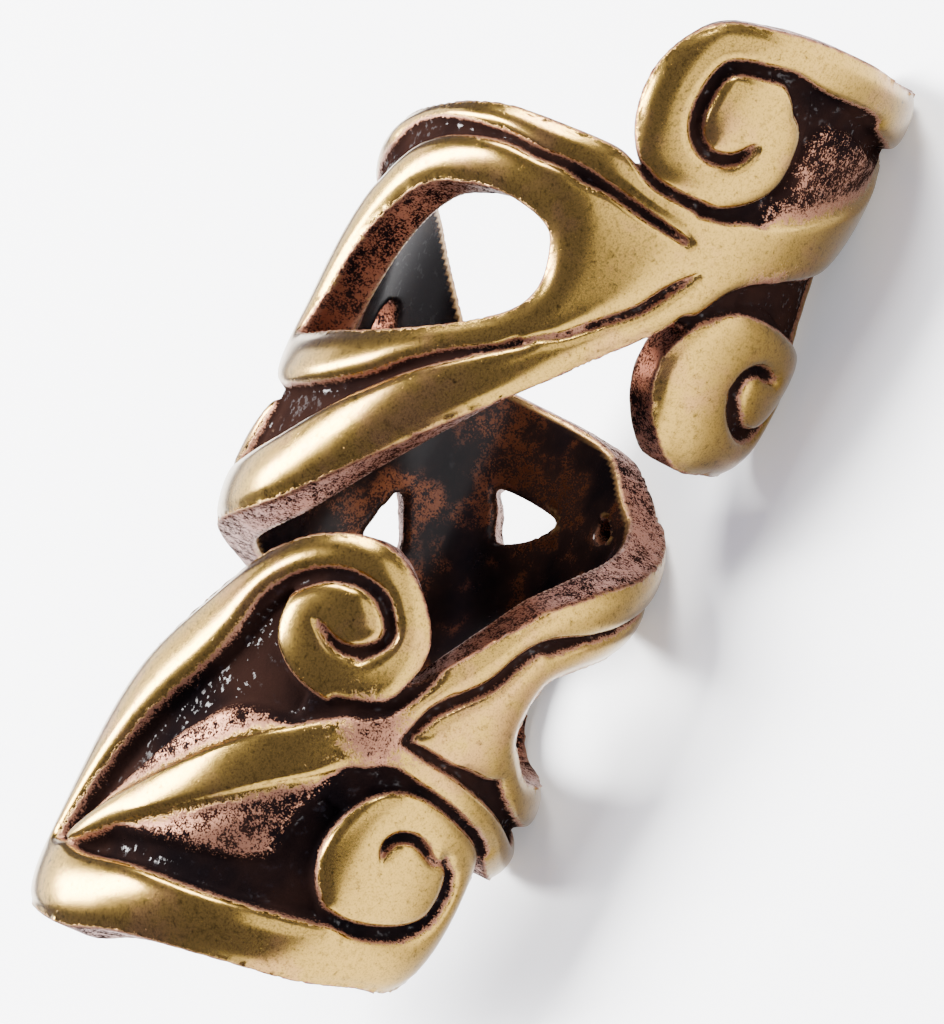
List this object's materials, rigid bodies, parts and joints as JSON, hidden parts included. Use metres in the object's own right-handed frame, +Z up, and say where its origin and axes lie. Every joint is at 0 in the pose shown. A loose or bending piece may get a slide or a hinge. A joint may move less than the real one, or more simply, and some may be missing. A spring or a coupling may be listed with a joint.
{
  "type": "hair bead",
  "caption": "Open spiral hair bead, cast in one piece, with a heart-shaped leaf and curled volutes at each end and a pierced back.",
  "frame": {"origin": "on the surface that the bead lies on, under the middle of its box", "axes": "+X along the bore from the lower leaf to the upper leaf, +Z up, -Y towards the leaves' side"},
  "size_m": [0.037, 0.0152, 0.0149],
  "materials": {
    "brass": "polished on the ridges, dark patina in the hollows"
  },
  "bodies": {
    "root": {"bead": "brass"}
  },
  "joints": []
}
